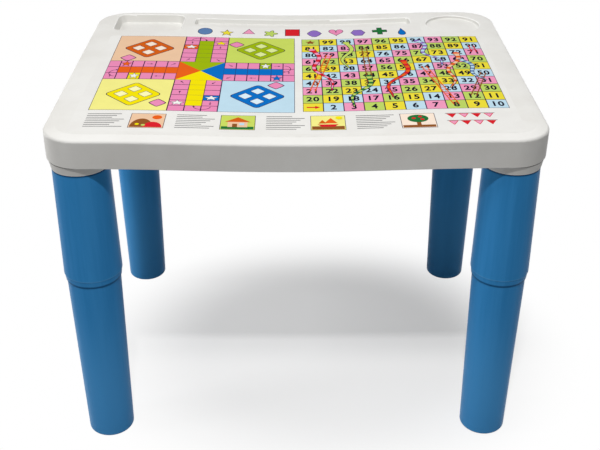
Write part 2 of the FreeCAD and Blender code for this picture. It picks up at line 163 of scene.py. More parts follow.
class TableInks(bpy.types.PropertyGroup):
    """Colours of the print"""

    outline: colour("Outline", "Thin lines of the boards", 46, 24, 58)
    pink: colour("Pink", "Track of the ludo board", 230, 138, 180)
    orange: colour("Orange", "Back left player", 228, 96, 28)
    rust: colour("Rust", "Mark of the back left home", 208, 94, 24)
    green: colour("Green", "Back right player", 154, 179, 14)
    yellow: colour("Yellow", "Front left player", 239, 222, 10)
    blue: colour("Blue", "Front right player", 10, 108, 192)
    peach: colour("Peach", "Back left home", 232, 194, 160)
    lime: colour("Lime", "Back right home", 197, 214, 97)
    cream: colour("Cream", "Front left home", 238, 232, 136)
    sky: colour("Sky", "Front right home, and number squares", 187, 216, 231)
    peach_light: colour("Light Peach", "Diamonds of the back left home", 245, 226, 208)
    lime_light: colour("Light Lime", "Diamonds of the back right home", 216, 230, 152)
    cream_light: colour("Light Cream", "Diamonds of the front left home", 246, 243, 180)
    sky_light: colour("Light Sky", "Diamonds of the front right home", 214, 232, 242)
    paper: colour("Paper", "Unprinted white inside marks", 236, 236, 232)
    lemon: colour("Lemon", "Number squares", 232, 216, 60)
    rose: colour("Rose", "Number squares", 235, 152, 186)
    leaf: colour("Leaf", "Number squares", 185, 209, 100)
    numeral: colour("Numeral", "Numbers", 26, 24, 44)
    red: colour("Red", "Snakes and shapes", 212, 34, 44)
    brown: colour("Brown", "Ladders and pictures", 142, 84, 40)
    violet: colour("Violet", "Snakes and shapes", 140, 108, 190)
    pine: colour("Pine", "Snakes and pictures", 34, 112, 56)
    slate: colour("Slate", "Snakes", 92, 126, 172)
    rule: colour("Rule", "Ruled lines", 66, 64, 70)


class TablePrint(bpy.types.PropertyGroup):
    """Sizes of the print, measured from the edges of the film"""

    ink_thickness: length("Ink Thickness", "Height of one layer of ink", 0.06)
    ink_key: length("Ink Key", "How far a layer of ink reaches into the one below", 0.02)
    line_width: length("Line Width", "Width of the lines between squares", 1.3)
    lane_line_width: length("Lane Line Width", "Width of the lines across the ludo board's lanes", 0.5)
    ludo_left: length("Ludo Left", "From the film's left edge to the ludo board", 15.2)
    ludo_front: length("Ludo Front", "From the film's front edge to the ludo board", 61.8)
    ludo_width: length("Ludo Width", "Width of the ludo board", 252.2)
    ludo_depth: length("Ludo Depth", "Depth of the ludo board", 271.6)
    arm_width: length("Arm Width", "Width of the ludo board's front and back arms", 61.8)
    arm_depth: length("Arm Depth", "Depth of the ludo board's left and right arms", 66.5)
    number_right: length("Number Right", "From the number board to the film's right edge", 7.3)
    number_front: length("Number Front", "From the film's front edge to the number board", 64.7)
    number_width: length("Number Width", "Width of the number board", 253.3)
    number_depth: length("Number Depth", "Depth of the number board", 264.0)
    numeral_height: length("Numeral Height", "Height of the numbers", 15.0)
    numeral_width: length("Numeral Width", "Width of a nought", 7.6)
    shape_width: length("Shape Width", "Width of a shape in the row at the back", 22.0)
    shape_depth: length("Shape Depth", "Depth of a shape in the row at the back", 30.0)
    picture_size: length("Picture Size", "Width of a picture in the row at the front", 42.0)


class TableStage(bpy.types.PropertyGroup):
    """Light, floor and camera"""

    floor: colour("Floor", "Floor as it is seen", 246, 246, 246)
    floor_bounce: colour("Floor Bounce", "Floor as it lights the table", 190, 190, 191)
    floor_glow: share("Floor Glow", "How much of the floor under the table is seen as plain white", 0.42)
    front_glow: share("Front Glow", "How much of the floor under the front is seen as plain white", 0.65)
    shadow_core: length("Shadow Core", "How far from its middle the shadow begins to fade", 180.0)
    shadow_reach: length("Shadow Reach", "How far from the shadow's middle the floor is plain white", 400.0)
    dome: share("Dome", "Strength of the light from all round", 0.10)
    overhead_power: power("Overhead Power", "Power of the wide lamp over the table", 19.1)
    overhead_size: length("Overhead Size", "Side of the wide lamp over the table", 700.0)
    key_power: power("Key Power", "Power of the small lamp over the camera", 20.8)
    key_size: length("Key Size", "Side of the small lamp over the camera", 80.0)
    fill_power: power("Fill Power", "Power of the lamp high on the left", 14.0)
    fill_size: length("Fill Size", "Side of the lamp high on the left", 500.0)
    rim_power: power("Rim Power", "Power of the small lamp beside the back left leg", 1.9)
    rim_size: length("Rim Size", "Side of the small lamp beside the back left leg", 150.0)
    lens: number("Lens", "Focal length of the camera", 59.17, min=1.0, unit="CAMERA")
    camera_tilt: rotation("Camera Tilt", "How far the camera looks down", 29.88)
    camera_turn: rotation("Camera Turn", "How far the camera turns to the right", 0.36)
    camera_place: triple(
        "Camera Place", "Where the camera stands", (-0.0024, -1.2654, 0.9323), subtype="TRANSLATION"
    )


# Nodes.


def add_node(tree, kind, inputs=None, **settings):
    """Adds a shader node with its settings. Each input is linked to a socket or set to a value."""
    made = tree.nodes.new(f"ShaderNode{kind}")
    for name, value in settings.items():
        setattr(made, name, value)
    for name, value in (inputs or {}).items():
        if isinstance(value, bpy.types.NodeSocket):
            tree.links.new(value, made.inputs[name])
        else:
            made.inputs[name].default_value = value
    return made


def noise(tree, place, scale, detail, roughness):
    inputs = {"Vector": place, "Scale": scale, "Detail": detail, "Roughness": roughness}
    return add_node(tree, "TexNoise", inputs).outputs["Fac"]


def maths(tree, operation, *values):
    return add_node(tree, "Math", dict(enumerate(values)), operation=operation).outputs["Value"]


def mapped(tree, value, start=0.0, stop=1.0, low=0.0, high=1.0, soft=False):
    """Number socket that goes from low to high while a value goes from start to stop."""
    inputs = {"Value": value, "From Min": start, "From Max": stop, "To Min": low, "To Max": high}
    kind = "SMOOTHSTEP" if soft else "LINEAR"
    return add_node(tree, "MapRange", inputs, interpolation_type=kind).outputs["Result"]


def stretched(tree, place, **inputs):
    """Coordinates that are moved, turned or scaled."""
    named = {name.title(): value for name, value in inputs.items()}
    return add_node(tree, "Mapping", {"Vector": place, **named}).outputs["Vector"]


def mixed(tree, mask, first, second):
    """Colour socket that goes with a mask from a colour, plain or a socket, to a plain colour."""
    if not isinstance(first, bpy.types.NodeSocket):
        first = (*first, 1.0)
    return add_node(tree, "Mix", {0: mask, 6: first, 7: (*second, 1.0)}, data_type="RGBA").outputs[2]


# Height of a wall's unevenness against its grain.
WAVE_HEIGHT = 6.0
# Noise between which a patch or a scratch comes in, and turn and stretch of the scratches' two directions.
PATCH_NOISE = (0.3, 0.7)
SCRATCH_NOISE = (0.69, 0.76)
SCRATCH_RUNS = ((0.5, (1.0, 26.0, 7.0)), (2.0, (1.4, 34.0, 9.0)))


def moulded_grain(tree, place, grain_scale, wave_scale):
    """Height of a fine moulded grain over a slow unevenness of the wall."""
    fine = noise(tree, place, grain_scale, 3.0, 0.6)
    slow = noise(tree, place, wave_scale, 1.0, 0.4)
    return maths(tree, "ADD", fine, maths(tree, "MULTIPLY", slow, WAVE_HEIGHT))


def cloudy_patches(tree, place, scale):
    """Mask of soft patches with a finer mottle in them."""
    return mapped(tree, noise(tree, place, scale, 6.0, 0.62), *PATCH_NOISE, soft=True)


def hairline_scratches(tree, place, scale):
    """Mask of short thin scratches in two directions."""
    masks = []
    for turn, stretch in SCRATCH_RUNS:
        along = stretched(tree, place, rotation=(0.2, 0.1, turn), scale=stretch)
        masks.append(mapped(tree, noise(tree, along, scale, 1.0, 0.5), *SCRATCH_NOISE))
    return maths(tree, "MAXIMUM", *masks)


def seam_band(tree, place, level, reach):
    """Mask of a soft level band round a height."""
    height = add_node(tree, "SeparateXYZ", {0: place}).outputs["Z"]
    away = maths(tree, "ABSOLUTE", maths(tree, "SUBTRACT", height, level))
    return mapped(tree, away, stop=reach, low=1.0, high=0.0, soft=True)


# Shader groups: the rule that fills them, the inputs besides the coordinates, and the output.
GROUPS = {
    "moulded_grain": (moulded_grain, ("Grain Scale", "Wave Scale"), "Height"),
    "cloudy_patches": (cloudy_patches, ("Scale",), "Mask"),
    "hairline_scratches": (hairline_scratches, ("Scale",), "Mask"),
    "seam_band": (seam_band, ("Level", "Reach"), "Mask"),
}


def new_group(name):
    fill, inputs, output = GROUPS[name]
    group = bpy.data.node_groups.new(name, "ShaderNodeTree")
    group.interface.new_socket("Vector", in_out="INPUT", socket_type="NodeSocketVector")
    for socket in inputs:
        group.interface.new_socket(socket, in_out="INPUT", socket_type="NodeSocketFloat")
    group.interface.new_socket(output, in_out="OUTPUT", socket_type="NodeSocketFloat")
    start = group.nodes.new("NodeGroupInput")
    end = group.nodes.new("NodeGroupOutput")
    made = fill(group, *[start.outputs[socket] for socket in ("Vector", *inputs)])
    group.links.new(made, end.inputs[output])
    return group


def group_output(tree, name, place, *values):
    """Output of a shader group, which is built when it is first used."""
    group = bpy.data.node_groups.get(name) or new_group(name)
    _, inputs, output = GROUPS[name]
    named = {"Vector": place, **dict(zip(inputs, values))}
    return add_node(tree, "Group", named, node_tree=group).outputs[output]


# Materials.

# Strength and distance of the bump of a moulded and of a printed surface.
MOULDED_BUMP = (0.10, 0.4 * MM)
PRINTED_BUMP = (0.08, 0.3 * MM)
# Finishes: specular level, scales of patches, scratches, grain and unevenness, roughness of the clean and of
# the worn surface, and bump.
FINISHES = {
    "white": (0.2, (9.0, 22.0, 1400.0, 11.0), (0.40, 0.54), MOULDED_BUMP),
    "film": (0.2, (14.0, 30.0, 900.0, 16.0), (0.30, 0.44), PRINTED_BUMP),
    "blue": (0.04, (70.0, 26.0, 1100.0, 24.0), (0.27, 0.40), MOULDED_BUMP),
    "ink": (0.0, (60.0, 30.0, 900.0, 16.0), (0.30, 0.42), PRINTED_BUMP),
}
# Thin places of an ink: how much of its colour is left, and how much paler they are.
INK_LEFT = 0.96
INK_PALER = 0.002
# Painted shade, painted highlight and painted shadow that the top holds on its faces, each with a colour of
# the same name.
PAINTED_LIGHT_LAYERS = ("white_dust", "white_rub", "white_crease")
# Painted shade in the seams of a leg, under its collar and round its foot: height, reach in millimetres and
# how dark it is.
SEAM_SHADE_BANDS = ((LEG_SEAM, 2.9, 0.72), (COLLAR_END, 3.6, 0.90), (FOOT, 3.4, 0.80))
# Painted highlight along the upper edge of the lip: reach and strength.
LIP_REACH = 1.6 * MM
LIP_HIGHLIGHT = 0.45
# Stretch of the legs' patches into flow lines.
FLOW_STRETCH = (1.0, 1.0, 0.05)


def surface(name, finish, clean, patch, stretch=None, wear=None):
    """Material with patches, scratches and grain. An optional rule gives masks and colours to lay over the
    base: painted shade, painted highlights and paler tones.
    """
    specular, scales, roughness, bump = FINISHES[finish]
    material = bpy.data.materials.new(name)
    material.use_nodes = True
    tree = material.node_tree
    place = add_node(tree, "TexCoord").outputs["Object"]
    patch_place = stretched(tree, place, scale=stretch) if stretch else place
    patches = group_output(tree, "cloudy_patches", patch_place, scales[0])
    scratches = group_output(tree, "hairline_scratches", place, scales[1])
    height = group_output(tree, "moulded_grain", place, *scales[2:])
    base = mixed(tree, patches, clean, patch)
    if wear:
        for mask, tint in wear(tree, place):
            base = mixed(tree, mask, base, tint)
    worn = maths(tree, "MAXIMUM", patches, scratches)
    grain = add_node(tree, "Bump", {"Strength": bump[0], "Distance": bump[1], "Height": height})
    shader = tree.nodes["Principled BSDF"]
    shader.inputs["Specular IOR Level"].default_value = specular
    tree.links.new(base, shader.inputs["Base Color"])
    tree.links.new(mapped(tree, worn, low=roughness[0], high=roughness[1]), shader.inputs["Roughness"])
    tree.links.new(grain.outputs["Normal"], shader.inputs["Normal"])
    return material


def white_plastic():
    """Satin white moulding with painted shade, shadow and highlights on its faces."""
    plastics = bpy.context.scene.table_plastics

    def wear(tree, place):
        for name in PAINTED_LIGHT_LAYERS:
            yield add_node(tree, "Attribute", attribute_name=name).outputs["Fac"], getattr(plastics, name)

    return surface("white_plastic", "white", plastics.white, plastics.white_patch, wear=wear)


def film_material():
    """Printed film where it carries no ink: smoother than the moulding round it."""
    plastics = bpy.context.scene.table_plastics
    return surface("film", "film", plastics.film, plastics.film_patch)


def blue_plastic():
    """Semi-gloss blue moulding with flow lines down the leg, paler low down, with painted shade in its seams,
    under its collars and round its feet, and a painted highlight on the lip's edge.
    """
    plastics = bpy.context.scene.table_plastics

    def band(tree, place, level, reach, strength):
        return mapped(tree, group_output(tree, "seam_band", place, level, reach), high=strength)

    def wear(tree, place):
        height = add_node(tree, "SeparateXYZ", {0: place}).outputs["Z"]
        # Paler from the seam towards the floor.
        yield mapped(tree, height, LEG_SEAM, LEG_SEAM / 4, soft=True), plastics.blue_low
        # Painted highlight along the lip's edge.
        yield band(tree, place, LEG_LIP, LIP_REACH, LIP_HIGHLIGHT), plastics.blue_rub
        # Painted shade in the seams, under the collars and round the feet.
        for level, reach, dark in SEAM_SHADE_BANDS:
            yield band(tree, place, level, reach * MM, dark), plastics.seam

    return surface("blue_plastic", "blue", plastics.blue, plastics.blue_streak, FLOW_STRETCH, wear)


def ink(name):
    """Printing ink under the film's gloss, a little uneven in tone."""
    made = bpy.data.materials.get(f"ink_{name}")
    if made:
        return made
    full = getattr(bpy.context.scene.table_inks, name)
    thin = [channel * INK_LEFT + INK_PALER for channel in full]
    return surface(f"ink_{name}", "ink", full, thin)


def dress_nodes(names, material):
    """Gives a material to every slot of these pieces of the frame."""
    for name in names:
        for slot in frame["nodes"][name].material_slots:
            slot.material = material


# Sag of the top, and the painted shade, shadow and highlights on it.

# The sag is a row of straight strips from the middle of the top to each end, so that all layers bend alike.
SAG_STRIPS = 14
MERGE_DISTANCE = 0.002 * MM
SMOOTH_ANGLE = math.radians(28)
# How strongly painted shade darkens the walls of each hollow in the top.
HOLLOW_WALL_SHADE = {"eraser_well": 0.35, "pen_tray": 1.0, "cup_recess": 0.1}
# Round the free space of a hollow, room for its rounded corners and walls.
HOLLOW_MARGIN = 15.0 * MM
HOLLOW_DEPTH = 14.0 * MM
RIM_DEPTH = 1.6 * MM
BORDER_DEPTH = 7.0 * MM
# Strength of the painted highlight on the border, where the border faces the front.
BORDER_HIGHLIGHT = 0.35
# Heights of the band of painted shadow under the skirt and of the painted highlight on a collar's lower edge.
CONTACT_SHADOW_HEIGHT = 1.3 * MM
COLLAR_RIM_HEIGHT = 1.1 * MM
# How far the normals of the rounded rims, of the walls of the hollows and of the border point up.
RIM_SLOPE = (0.2, 0.985)
WALL_SLOPE = (0.0, 0.9)
BORDER_SLOPE = 0.3
# Heights at which the top is cut, so that the painted highlight on the collars and the painted shadow under
# the skirt get faces of their own.
PAINTED_LIGHT_CUTS = (COLLAR_END + COLLAR_RIM_HEIGHT, SKIRT_END - CONTACT_SHADOW_HEIGHT)


def deselect_all():
    bpy.ops.object.select_all(action="DESELECT")


def select_only(piece):
    deselect_all()
    piece.select_set(True)
    bpy.context.view_layer.objects.active = piece


def set_mode(mode):
    bpy.ops.object.mode_set(mode=mode)


def cut_through(place, normal):
    """Cuts the whole piece in edit mode along a plane."""
    bpy.ops.mesh.select_all(action="SELECT")
    bpy.ops.mesh.bisect(plane_co=place, plane_no=normal)


def sag_height(x):
    """Height of the sagging top at a place along the table, against a level one."""
    plastics = bpy.context.scene.table_plastics
    edges = [i / SAG_STRIPS for i in range(SAG_STRIPS + 1)]
    drops = [math.cos(math.pi / 2 * edge) ** 2 for edge in edges]
    return -plastics.sag * numpy.interp(abs(x) / plastics.sag_reach, edges, drops)


def let_sag(piece):
    """Cuts a piece across the table and lowers it as the top hangs between its legs."""
    strip = bpy.context.scene.table_plastics.sag_reach / SAG_STRIPS
    select_only(piece)
    set_mode("EDIT")
    for step in range(-SAG_STRIPS, SAG_STRIPS + 1):
        cut_through((step * strip, 0.0, 0.0), (1.0, 0.0, 0.0))
    set_mode("OBJECT")
    for vertex in piece.data.vertices:
        vertex.co.z += sag_height(vertex.co.x)


def hollow_at(x, y):
    """Name of the hollow in the top at a place, or None."""
    for opening in frame["record"]["physics"]["openings"]:
        low, high = opening["box_m"]
        inside_x = low[0] - HOLLOW_MARGIN < x < high[0] + HOLLOW_MARGIN
        inside_y = low[1] - HOLLOW_MARGIN < y < high[1] + HOLLOW_MARGIN
        if opening["name"] in HOLLOW_WALL_SHADE and inside_x and inside_y:
            return opening["name"]
    return None


def face_wear(middle, normal):
    """Layer of painted shade, highlight or shadow on a face of the level top and its strength, from the
    face's middle and normal.
    """
    depth = FILM_HIGH.z - middle.z
    # A collar's lower edge gets a painted highlight, and the collar just under the skirt a painted shadow.
    if middle.z < COLLAR_END + COLLAR_RIM_HEIGHT:
        return "white_rub", 1.0
    if middle.z < SKIRT_END:
        return "white_crease", 1.0 if middle.z > SKIRT_END - CONTACT_SHADOW_HEIGHT else 0.0
    # The rims of the hollows get a painted highlight, their walls painted shade, and the border a painted
    # highlight where it faces the front.
    hollow = hollow_at(middle.x, middle.y)
    if hollow and depth < RIM_DEPTH and RIM_SLOPE[0] < normal.z < RIM_SLOPE[1]:
        return "white_rub", 1.0
    if hollow and depth < HOLLOW_DEPTH and WALL_SLOPE[0] < normal.z < WALL_SLOPE[1]:
        return "white_dust", HOLLOW_WALL_SHADE[hollow]
    if depth < BORDER_DEPTH and normal.z > BORDER_SLOPE:
        to_front = -normal.y / max(math.hypot(normal.x, normal.y), 0.1)
        return "white_rub", BORDER_HIGHLIGHT * max(0.0, to_front)
    return "white_rub", 0.0


def mark_wear(piece):
    """Writes the painted shade, shadow and highlights on each face of the sagging top."""
    layers = {name: piece.data.attributes.new(name, "FLOAT", "FACE") for name in PAINTED_LIGHT_LAYERS}
    for face in piece.data.polygons:
        middle = Vector(face.center)
        middle.z -= sag_height(middle.x)
        name, strength = face_wear(middle, face.normal)
        layers[name].data[face.index].value = strength


def sagging_copy(node_name, name, cuts=()):
    """Copy of a piece of the frame, cut at some heights, that hangs with the top and stands for the piece."""
    node = frame["nodes"][node_name]
    copy = node.copy()
    copy.data = node.data.copy()
    copy.name = name
    copy.data.name = name
    copy.parent = None
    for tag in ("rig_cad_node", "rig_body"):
        del copy[tag]
    bpy.context.collection.objects.link(copy)
    select_only(copy)
    bpy.ops.mesh.customdata_custom_splitnormals_clear()
    set_mode("EDIT")
    bpy.ops.mesh.select_all(action="SELECT")
    bpy.ops.mesh.remove_doubles(threshold=MERGE_DISTANCE)
    for height in cuts:
        cut_through((0.0, 0.0, height), (0.0, 0.0, 1.0))
    set_mode("OBJECT")
    let_sag(copy)
    bpy.ops.object.shade_smooth_by_angle(angle=SMOOTH_ANGLE)
    weighted = copy.modifiers.new("flat_faces", "WEIGHTED_NORMAL")
    weighted.keep_sharp = True
    bpy.ops.object.modifier_apply(modifier=weighted.name)
    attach(copy, "tabletop")
    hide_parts(node_name)
    return copy


class TABLE_OT_plastic_finish(bpy.types.Operator):
    """Finish the blue legs, and the white top and film that hang a little between them"""

    bl_idname = "table.plastic_finish"
    bl_label = "Plastic Finish"

    def execute(self, context):
        dress_nodes(["tabletop"], white_plastic())
        dress_nodes(["printed_film"], film_material())
        dress_nodes(LEG_NODES, blue_plastic())
        top = sagging_copy("tabletop", "moulded_top", PAINTED_LIGHT_CUTS)
        mark_wear(top)
        sagging_copy("printed_film", "label_film")
        return {"FINISHED"}


# Outlines of unit size.


def moved(points, place, size, turn=0.0):
    """Outline scaled from its unit size, turned and moved to its place."""
    cosine = math.cos(turn)
    sine = math.sin(turn)
    scaled = [(x * size[0], y * size[1]) for x, y in points]
    return [(place[0] + x * cosine - y * sine, place[1] + x * sine + y * cosine) for x, y in scaled]


def round_outline(count, radius=lambda angle: 1.0, start=0.0):
    """Outline round the middle, whose radius may change with the angle."""
    angles = [start + math.tau * i / count for i in range(count)]
    return [(radius(angle) * math.cos(angle), radius(angle) * math.sin(angle)) for angle in angles]


def star(inner=0.45):
    points = round_outline(10, start=math.pi / 2)
    return [(x * inner, y * inner) if i % 2 else (x, y) for i, (x, y) in enumerate(points)]


def cross(arm=0.36):
    quarter = [(arm, -1.0), (arm, -arm), (1.0, -arm)]
    points = []
    for turn in range(4):
        points += moved(quarter, (0.0, 0.0), (1.0, 1.0), turn * math.pi / 2)
    return points


def heart(count=40):
    points = []
    for i in range(count):
        angle = -math.tau * i / count
        y = 13 * math.cos(angle) - 5 * math.cos(2 * angle) - 2 * math.cos(3 * angle) - math.cos(4 * angle)
        points.append((math.sin(angle) ** 3, y / 15))
    return points


def drop(count=40, width=0.75):
    """Round below, drawn out to a point at the top."""
    points = []
    for i in range(count):
        angle = math.pi / 2 + math.tau * i / count
        narrowing = math.sin(math.pi * i / count) ** 1.5
        points.append((width * math.cos(angle) * narrowing, math.sin(angle)))
    return points


def lens(count=12):
    """Two shallow arcs that meet in points at the left and right."""
    steps = [i / count for i in range(count)]
    lower = [(-1.0 + 2.0 * step, -4.0 * step * (1.0 - step)) for step in steps]
    return lower + [(-x, -y) for x, y in lower]


def pillow(bulge=1.15):
    """Square on its corner, with sides that bulge a little."""

    def radius(angle):
        return (abs(math.cos(angle)) ** bulge + abs(math.sin(angle)) ** bulge) ** (-1 / bulge)

    return round_outline(48, radius)


def rounded_diamond(radius=0.16, steps=6):
    """Square on its corner, each corner rounded by a short arc."""
    middle = 1.0 - radius * math.sqrt(2)
    points = []
    for facing in (0.0, math.pi / 2, math.pi, math.pi * 3 / 2):
        arc = [facing - math.pi / 4 + math.pi / 2 * i / steps for i in range(steps + 1)]
        x = middle * math.cos(facing)
        y = middle * math.sin(facing)
        points += [(x + radius * math.cos(angle), y + radius * math.sin(angle)) for angle in arc]
    return points


DISC = round_outline(36)
HEXAGON = round_outline(6)
TRIANGLE = round_outline(3, start=math.pi / 2)
SQUARE = [(-1.0, -1.0), (1.0, -1.0), (1.0, 1.0), (-1.0, 1.0)]
# Boat's hull: flat above, drawn in below.
HULL = [(-1.0, 1.0), (-0.6, -1.0), (0.6, -1.0), (1.0, 1.0)]
# Half of an ellipse with its flat side down.
DOME = [(math.cos(math.pi * i / 18), math.sin(math.pi * i / 18)) for i in range(19)]
FLOWER = round_outline(60, lambda angle: 0.78 + 0.22 * math.cos(5 * angle))
STAR = star()
DIAMOND = rounded_diamond()


# Flat print. Widths of lines and rims are in millimetres.


def layer_height(layer):
    """Height of the upper face of a layer of ink on the film."""
    return FILM_HIGH.z + layer * bpy.context.scene.table_print.ink_thickness


def paint(piece, names):
    """Gives a piece these inks as its material slots."""
    for name in names:
        piece.data.materials.append(ink(name))


def stamp(outline, place, size, ink_name, layer, rim=0.0, turn=0.0, rim_ink="outline"):
    """Flat face of ink in an outline of this half size, with a rim of another ink where one has a width."""
    deselect_all()
    bpy.ops.mesh.primitive_circle_add(
        vertices=len(outline), fill_type="NGON", location=(0.0, 0.0, layer_height(layer))
    )
    shape = bpy.context.object
    for corner, point in zip(shape.data.vertices, moved(outline, place, size, turn)):
        corner.co = (*point, 0.0)
    paint(shape, [ink_name])
    if rim:
        paint(shape, [rim_ink])
        set_mode("EDIT")
        bpy.ops.mesh.select_all(action="SELECT")
        bpy.ops.mesh.inset(thickness=rim * MM)
        bpy.ops.mesh.select_all(action="INVERT")
        shape.active_material_index = 1
        bpy.ops.object.material_slot_assign()
        set_mode("OBJECT")
    return shape


def bar(start, end, width, ink_name, layer):
    """Straight line of ink from one point to another."""
    middle = (Vector(start) + Vector(end)) / 2
    run = Vector(end) - Vector(start)
    size = (run.length / 2, width * MM / 2)
    return stamp(SQUARE, middle, size, ink_name, layer, turn=math.atan2(run.y, run.x))


def flat_grid(columns, rows, layer):
    """Flat grid of faces on a layer of ink, 1 m wide and deep before it is shaped."""
    deselect_all()
    bpy.ops.mesh.primitive_grid_add(
        x_subdivisions=columns, y_subdivisions=rows, size=1.0, location=(0.0, 0.0, layer_height(layer))
    )
    return bpy.context.object


def ribbon(path, half_width, layer, inks, bands=1, steps=96):
    """Flat strip along a path, in bands of ink."""
    strip = flat_grid(steps, 2, layer)
    paint(strip, inks)
    for face in strip.data.polygons:
        face.material_index = int((face.center.x + 0.5) * bands) % len(inks)
    near = 0.002
    for vertex in strip.data.vertices:
        reach = vertex.co.x + 0.5
        across = vertex.co.y * 2
        along = (path(min(1.0, reach + near)) - path(max(0.0, reach - near))).normalized()
        place = path(reach) + Vector((-along.y, along.x)) * across * half_width(reach)
        vertex.co = (*place, 0.0)
    return strip


def print_piece(name, shapes):
    """Joins shapes into one printed piece, gives the ink its thickness and fixes it to the top."""
    sizes = bpy.context.scene.table_print
    select_only(shapes[0])
    for shape in shapes:
        shape.select_set(True)
    if len(shapes) > 1:
        bpy.ops.object.join()
    piece = bpy.context.object
    piece.name = name
    piece.data.name = name
    bpy.ops.object.transform_apply(location=True, rotation=True, scale=True)
    solidify = piece.modifiers.new("ink", "SOLIDIFY")
    solidify.thickness = sizes.ink_thickness + sizes.ink_key
    solidify.offset = -1.0
    bpy.ops.object.modifier_apply(modifier=solidify.name)
    let_sag(piece)
    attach(piece, "tabletop")


class Board:
    """Rectangle of squares, with places counted in squares from its front left corner."""

    def __init__(self, left, front, widths, depths):
        self.across = [left + sum(widths[:i]) for i in range(len(widths) + 1)]
        self.along = [front + sum(depths[:i]) for i in range(len(depths) + 1)]

    def place(self, column, row):
        x = numpy.interp(column, range(len(self.across)), self.across)
        y = numpy.interp(row, range(len(self.along)), self.along)
        return Vector((x, y))

    def middle(self, column, row):
        return self.place(column + 0.5, row + 0.5)

    def size(self, column, row):
        """Width and depth of a square."""
        return self.place(column + 1, row + 1) - self.place(column, row)

    def square_of(self, face):
        """Middle of a face, counted in squares."""
        middle = face.calc_center_median()
        column = numpy.interp(middle.x, self.across, range(len(self.across)))
        row = numpy.interp(middle.y, self.along, range(len(self.along)))
        return column, row

    def start_sheet(self, inks):
        """Starts a flat sheet of the board's squares with these inks, in edit mode."""
        columns = len(self.across) - 1
        rows = len(self.along) - 1
        self.inks = inks
        self.sheet = flat_grid(columns, rows, 1)
        for vertex in self.sheet.data.vertices:
            vertex.co.xy = self.place((vertex.co.x + 0.5) * columns, (vertex.co.y + 0.5) * rows)
        paint(self.sheet, inks)
        bpy.context.tool_settings.mesh_select_mode = (False, False, True)
        set_mode("EDIT")

    def pick(self, test):
        """Selects the faces of the sheet whose middle, counted in squares, passes a test."""
        mesh = bmesh.from_edit_mesh(self.sheet.data)
        for face in mesh.faces:
            face.select_set(False)
        for face in mesh.faces:
            if test(*self.square_of(face)):
                face.select_set(True)
        bmesh.update_edit_mesh(self.sheet.data)

    def merge(self, test):
        """Makes one face of the faces that pass a test."""
        self.pick(test)
        bpy.ops.mesh.dissolve_faces()

    def ink(self, rule):
        """Inks the selected faces by a rule that names an ink for a place counted in squares."""
        mesh = bmesh.from_edit_mesh(self.sheet.data)
        for face in mesh.faces:
            if face.select:
                face.material_index = self.inks.index(rule(*self.square_of(face)))
        bmesh.update_edit_mesh(self.sheet.data)

    def line_and_ink(self, width, test, rule):
        """Draws lines round the faces that pass a test and inks the squares inside the lines by a rule."""
        self.pick(test)
        bpy.ops.mesh.inset(thickness=width / 2, use_individual=True)
        self.ink(rule)

    def print_sheet(self, name):
        set_mode("OBJECT")
        print_piece(name, [self.sheet])


# Ludo board.

LUDO_CELLS = 15
HOME_CELLS = 6
# Homes by the squares at their front left corner, with the ink of the ground and of the mark on it.
LUDO_HOMES = {
    (0, 9): ("peach", "rust"),
    (9, 9): ("lime", "green"),
    (0, 0): ("cream", "yellow"),
    (9, 0): ("sky", "blue"),
}
LUDO_LANES = {"left": "orange", "back": "green", "right": "blue", "front": "yellow"}
# Squares with a star: column and row, ground and star.
LUDO_STARS = {
    (1, 8): ("pink", "orange"),
    (2, 6): ("yellow", "paper"),
    (6, 12): ("orange", "paper"),
    (8, 13): ("pink", "yellow"),
    (12, 8): ("green", "paper"),
    (13, 6): ("pink", "blue"),
    (8, 2): ("blue", "paper"),
    (6, 1): ("pink", "paper"),
}
# Arrows on the track: column, row and heading in degrees.
LUDO_ARROWS = (
    (0, 6, 90), (3, 8, 0), (5, 8, 45), (4, 6, 180), (6, 9, 60), (6, 13, 90),
    (8, 12, 270), (8, 9, 300), (9, 8, 315), (13, 8, 0), (14, 7, 270), (11, 6, 180),
    (9, 6, 225), (8, 5, 240), (8, 1, 270), (6, 3, 90), (6, 5, 120),
)
# Tags beside the starting squares: middle as shares of the board's width and depth, and half sizes.
LUDO_TAGS = ((0.091, 0.666), (0.671, 0.890), (0.323, 0.088), (0.903, 0.325))
TAG_SIZE = (11.2 * MM, 12.4 * MM)
# A home's mark as a share of the home, and its diamonds' places and sizes as shares of the mark.
MARK_SIZE = 0.385
SPOT_PLACE = 0.42
SPOT_SIZE = 0.27
MARK_RIM = 1.1
SPOT_RIM = 0.8
STAR_RIM = 0.6
TAG_RIM = 1.3
# How far an arrow reaches behind the middle of its square and how far its shaft goes on, the shaft's width,
# and the head's radius and half width.
ARROW_BACK = 4.2 * MM
ARROW_NECK = 1.2 * MM
ARROW_WIDTH = 0.7
HEAD_RADIUS = 2.4 * MM
HEAD_HALF_WIDTH = 1.9
# A turning arrow's middle across and from the end of its arm, and its radius, in squares. The shaft's half
# width, how far the head's middle is beyond the shaft, and the head's half width.
TURN_ACROSS = 0.55
TURN_ALONG = 0.85
TURN_RADIUS = 0.5
TURN_HALF_WIDTH = 0.45 * MM
TURN_NECK = 0.8 * MM
TURN_HEAD_HALF_WIDTH = 2.0


def ludo_strips(total, arm):
    """Widths of the squares along one side of the ludo board: home, arm, home."""
    home = [(total - arm) / 2 / HOME_CELLS] * HOME_CELLS
    arm_cells = LUDO_CELLS - 2 * HOME_CELLS
    return home + [arm / arm_cells] * arm_cells + home


def ludo_board():
    sizes = bpy.context.scene.table_print
    widths = ludo_strips(sizes.ludo_width, sizes.arm_width)
    depths = ludo_strips(sizes.ludo_depth, sizes.arm_depth)
    return Board(FILM_LOW.x + sizes.ludo_left, FILM_LOW.y + sizes.ludo_front, widths, depths)


